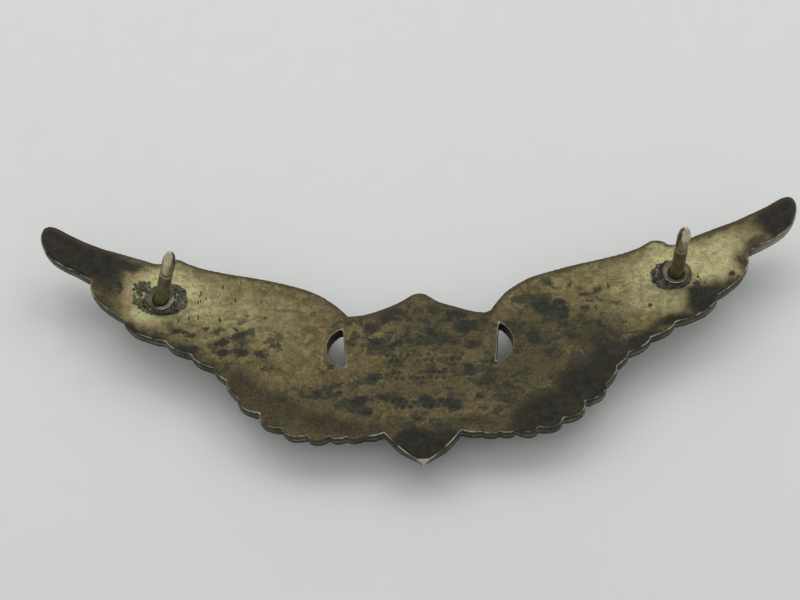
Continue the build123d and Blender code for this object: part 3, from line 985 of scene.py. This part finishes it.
def clutch_post(side, foot, axis, dent_angle, streak_angle, seed):
    """The post with its turned neck, drawing marks and a battered point."""
    neck_low, neck_high = NECK_HEIGHT - NECK_WIDTH / 2, NECK_HEIGHT + NECK_WIDTH / 2
    profile = filled(rounded([
        (POST_RADIUS, -0.2), (POST_RADIUS, neck_low),
        (NECK_RADIUS, neck_low + 0.13), (NECK_RADIUS, neck_high - 0.13),
        (POST_RADIUS, neck_high), (POST_RADIUS, POST_LENGTH - POINT_LENGTH),
        (POST_RADIUS * 0.72, POST_LENGTH - POINT_LENGTH * 0.35),
        (0.19, POST_LENGTH - 0.06), (0.05, POST_LENGTH),
    ], 0.16), 0.11)
    place = axis_place(foot, axis)

    def batter(p, a, height):
        q = Vector((p.x, p.y, p.z * 0.35)) * 1.6 + Vector((seed, 0, 0))
        out = 1 + 0.018 * noise.noise(q) + 0.010 * noise.noise(q * 3)
        p = Vector((p.x * out, p.y * out, p.z))
        # A flat nick near the point
        nick = float(ramp(0.55, 1.0, cos(a - dent_angle)))
        nick *= NICK_DEPTH * exp(-((height - POST_LENGTH + 0.75) / 0.4) ** 2)
        return p - Vector((cos(dent_angle), sin(dent_angle), 0)) * nick

    obj = turned(side + "_post_worn", profile, place, batter)
    local, _, heights, angles = turned_places(obj, place)
    # Bright rings at both edges of the neck and a little above it: worn metal with a painted
    # highlight, broken up in places
    ring = bell(heights, neck_low, 0.05) * 0.55 + bell(heights, neck_high, 0.06) * 0.3
    ring += bell(heights, neck_high + 0.55, 0.05) * 0.4
    worn = fractal(local, 1.5, seed, 2) > -0.1
    # Painted shade down one side of the post, strongest above the neck and fading out below it
    streak = np.maximum(0, np.cos(angles - streak_angle)) ** 2.5
    put_fields(
        obj,
        high=ramp(NECK_HEIGHT - 0.5, NECK_HEIGHT + 0.6, heights),
        bright=np.clip(ring, 0, 1) * (0.35 + 0.65 * worn),
        streak=streak * ramp(NECK_HEIGHT - 1, NECK_HEIGHT + 1, heights),
    )
    return obj


def post_collar(side, centre, normal, seed, lit_side_angle, dish_painted_light, dish_shade):
    """Turned collar: a flange, a step and a dished cup whose lip is worn bright, with painted light on
    one side of the lip and the dish.
    """
    profile = filled(rounded([
        (1.55, -0.15), (1.55, 0.22), (1.40, 0.26), (1.36, 0.30), (1.36, 0.56), (1.33, 0.62),
        (1.27, 0.61), (1.20, 0.56), (0.82, 0.39), (0.72, 0.30), (0.62, 0.28),
    ], 0.05, 4), 0.07)
    place = axis_place(centre, normal)

    def wobble(p, a, height):
        q = Vector((cos(a), sin(a), height)) * 1.3 + Vector((seed, 3, 0))
        out = 1 + 0.014 * noise.noise(q) + 0.006 * noise.noise(q * 4)
        return Vector((p.x * out, p.y * out, p.z + 0.02 * noise.noise(q * 2.2)))

    obj = turned(side + "_collar_worn", profile, place, wobble)
    _, radii, heights, angles = turned_places(obj, place)
    lip = bell(radii, 1.31, 0.06) * ramp(0.5, 0.6, heights)
    dish = ramp(0.72, 0.9, radii) * ramp(1.3, 1.22, radii) * (heights > 0.2)
    # Painted light on one side of the lip and the dish
    lit = np.maximum(0, np.cos(angles - lit_side_angle)) ** 1.5
    flange = bell(radii, 1.5, 0.05) * 0.3
    put_fields(
        obj,
        bright=np.clip(lip * (0.3 + 0.4 * lit) + dish * lit * dish_painted_light + flange, 0, 1),
        dish=dish * dish_shade,
        pit=ramp(0.9, 0.72, radii) * ramp(0.5, 0.3, heights) * 0.85,
    )
    obj.data.materials.append(collar_mat)
    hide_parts(side + "_post_collar")


SOLDER_RADIUS = 2.0
INNER_RADIUS = 1.35
SOLDER_UNDERSIDE = -0.16
SOLDER_AROUND, SOLDER_ALONG = 120, 26


def solder_ring(side, centre, run, normal, reach, seed):
    """Lumpy run of solder and burnt flux from the flange out on to the plate."""
    place = axis_place(centre, normal)
    places, high = [], []

    def edge(a):
        """Radius of the run's outer edge, from the collar's centre."""
        extra = sum(amount * max(0.0, cos(a - radians(at))) ** 6 for at, amount in reach)
        shift = run.x * cos(a) + run.y * sin(a)
        pool = shift + sqrt(shift**2 - run.length_squared + SOLDER_RADIUS**2)
        wander = noise.noise(Vector((cos(a) * 3.4, sin(a) * 3.4, seed)))
        return pool + extra + 0.26 * wander

    # Rings over the top from the flange outwards, then one under the edge and one under the flange
    over = [(j / SOLDER_ALONG, True) for j in range(SOLDER_ALONG + 1)]
    rings = over + [(1, False), (0, False)]
    for t, on_top in rings:
        for k in range(SOLDER_AROUND):
            a = 2 * pi * k / SOLDER_AROUND
            r = INNER_RADIUS + (edge(a) - INNER_RADIUS) * t
            x, y = r * cos(a), r * sin(a)
            q = Vector((x, y, seed))
            lumps = 0.5 + 0.5 * noise.noise(q * 2.4) + 0.55 * noise.noise(q * 6.5)
            h = 0.26 * (1 - t) ** 0.8 + 0.17 * max(0.0, lumps) * (1 - t ** 4) - 0.09 * t ** 5
            places.append(place @ Vector((x, y, h if on_top else SOLDER_UNDERSIDE)))
            high.append(lumps * (1 - t ** 3) * on_top)
    faces = [(a, d, c, b) for a, b, c, d in ring_faces(len(rings), SOLDER_AROUND, closed=True)]
    obj = new_piece(side + "_solder_run", places, faces)
    put_fields(obj, high=np.clip(high, 0, 1))
    obj.data.materials.append(solder_mat)
    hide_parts(side + "_solder")


CRUST_VOXEL = 0.05


def crust(name, spots, seed, cream_share):
    """Small lumps of corrosion grown together on the plate: x, y and radius of each, in mm."""
    bm = bmesh.new()
    for x, y, size in spots:
        made = bmesh.ops.create_icosphere(bm, subdivisions=3, radius=size)
        middle = Vector((x, y, float(back_z(x)) + size * 0.08))
        for v in made["verts"]:
            q = v.co / size
            bulge = 1 + 0.28 * noise.noise(q * 1.7 + Vector((seed, x, y)))
            bulge += 0.14 * noise.noise(q * 4 + Vector((x, y, seed)))
            v.co = middle + Vector((q.x * bulge, q.y * bulge, q.z * bulge * 0.55)) * size
    obj = remeshed(name, bm, CRUST_VOXEL)
    co, _ = mesh_arrays(obj)
    cream = ramp(0.5 - cream_share, 0.62 - cream_share, fractal(co, 1.4, seed, 2))
    put_fields(obj, cream=cream)
    obj.data.materials.append(verdigris_mat)
    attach(obj, ROOT)
    return obj


# ---- build

wing_plate()
applied_shield()
enamel_fill()

post_mat = post_material()
collar_mat = collar_material()
solder_mat = solder_material()
verdigris_mat = verdigris_material()

# For each post: which way its nick and its painted shade face in degrees, the seed of its noise, and
# where its solder runs out, as angles in degrees and extra reach in mm. Then the way the side of the
# collar's lip and dish with painted light faces, how strong that painted light is in the dish, and how
# pale the rest of the dish is.
POST_DETAILS = {
    "left": (60, -10, 21.0, [(175, 0.35), (0, 0.45), (50, 0.2), (-90, -0.2)], -50, 1.1, 0.3),
    "right": (-60, 185, 42.0, [(188, 0.3), (115, -0.35), (-90, -0.2), (20, -0.3)], -90, 0.25, 0.9),
}
for side, (dent, streak, seed, reach, lit_side_turn, dish_painted_light, dish_shade) in POST_DETAILS.items():
    grip = mounts[side + "_post_grip"]
    axis = Vector(grip["axis"])
    foot = Vector(grip["pos_m"]) / MM - axis * GRIP_HEIGHT
    low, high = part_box(side + "_post_collar")
    centre = Vector(((low.x + high.x) / 2 / MM, (low.y + high.y) / 2 / MM, 0))
    centre.z = float(back_z(centre.x))
    normal = Vector((-centre.x / BACK_RADIUS, 0, 1)).normalized()
    low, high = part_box(side + "_solder")
    run = Vector(((low.x + high.x) / 2 / MM - centre.x, (low.y + high.y) / 2 / MM - centre.y, 0))
    post = clutch_post(side, foot, axis, radians(dent), radians(streak), seed)
    post.data.materials.append(post_mat)
    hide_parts(side + "_post")
    post_collar(side, centre, normal, seed, radians(lit_side_turn), dish_painted_light, dish_shade)
    solder_ring(side, centre, run, normal, reach, seed)

crust("left_verdigris", [
    (-28, 5, 0.4), (-27.7, 4.55, 0.36), (-28.15, 5.45, 0.3), (-27.6, 4.1, 0.28),
    (-28.2, 4.55, 0.26), (-27.9, 5.85, 0.26), (-27.3, 3.75, 0.22), (-28.35, 6.1, 0.2),
    (-27.6, 5.5, 0.24),
], 5, 0.05)
burnt = crust("left_burnt_flux", [
    (-27.95, 6.4, 0.32), (-27.4, 6.65, 0.36), (-27, 6.3, 0.34), (-27.5, 6.1, 0.28),
    (-28.25, 6.65, 0.2), (-26.9, 6.8, 0.22), (-27.8, 6.9, 0.2), (-26.95, 5.9, 0.34),
    (-26.9, 3.5, 0.2), (-26.5, 3.3, 0.18),
], 4, 0.0)
# The flux takes the solder's finish, with painted highlights as strong as on a high lump
put_fields(burnt, high=np.full(len(burnt.data.vertices), 0.7))
burnt.data.materials.clear()
burnt.data.materials.append(solder_mat)
crust("left_flux_crust", [
    (-27.2, 5, 0.3), (-27.1, 4.6, 0.3), (-27.3, 5.4, 0.2), (-26.95, 4.2, 0.2),
], 8, 0.9)
crust("right_verdigris", [
    (27.55, 5, 0.16), (27.75, 4.7, 0.12), (27.6, 5.4, 0.12), (28.1, 4.3, 0.12), (28.5, 4.25, 0.1),
], 9, 0.6)

# ---- floor, lights and camera

FLOOR_HALF = 1.5
# The floor keeps clear of the shield's face, so that the two are not in one plane.
FLOOR_GAP = 0.03 * MM
floor_z = cad_low.z - FLOOR_GAP
floor_mesh = bpy.data.meshes.new("tabletop")
floor_mesh.from_pydata(
    [(x * FLOOR_HALF, y * FLOOR_HALF, floor_z) for x, y in ((-1, -1), (1, -1), (1, 1), (-1, 1))],
    [], [(0, 1, 2, 3)],
)
floor_mesh.materials.append(floor_material())
tabletop = linked("tabletop", floor_mesh)

scene = bpy.context.scene
scene.view_settings.view_transform = "Standard"
scene.view_settings.look = "None"
world = bpy.data.worlds.new("soft_room")
scene.world = world
world.use_nodes = True
background = world.node_tree.nodes["Background"]
background.inputs["Color"].default_value = (0.965, 0.975, 0.975, 1.0)
background.inputs["Strength"].default_value = 0.585


def soft_light(name, place, power):
    """A window-sized area light that faces the pin from a place in metres."""
    light = bpy.data.lights.new(name, "AREA")
    light.shape = "RECTANGLE"
    light.size, light.size_y = 0.5, 0.36
    light.energy = power
    light.color = (1.0, 0.985, 0.96)
    obj = linked(name, light)
    obj.location = place
    obj.rotation_mode = "QUATERNION"
    obj.rotation_quaternion = (-Vector(place)).to_track_quat("-Z", "Y")


soft_light("window_left", (-0.22, 0.44, 0.52), 1.08)
soft_light("window_right", (0.3, 0.42, 0.52), 1.12)

# The camera looks down at the back of the pin from its lower edge; lengths in mm.
CAMERA_ELEVATION = radians(58.0)
CAMERA_HEADING = radians(3.155)
CAMERA_ROLL = radians(-4.92)
CAMERA_DISTANCE = 198.42
CAMERA_TARGET = Vector((-1.90, 4.33, 3.8))

flat_run = cos(CAMERA_ELEVATION)
forward = Vector((
    -sin(CAMERA_HEADING) * flat_run,
    cos(CAMERA_HEADING) * flat_run,
    -sin(CAMERA_ELEVATION),
))
level_right = forward.cross(Vector((0, 0, 1))).normalized()
level_up = level_right.cross(forward)
right = level_right * cos(CAMERA_ROLL) + level_up * sin(CAMERA_ROLL)
up = right.cross(forward)
camera_data = bpy.data.cameras.new("camera")
camera_data.lens = 90.0
camera_data.sensor_width = 36.0
camera_data.clip_start = 0.005
camera_data.clip_end = 10.0
camera = linked("camera", camera_data)
place = (CAMERA_TARGET - forward * CAMERA_DISTANCE) * MM
camera.matrix_world = Matrix.Translation(place) @ Matrix((right, up, -forward)).transposed().to_4x4()
scene.camera = camera
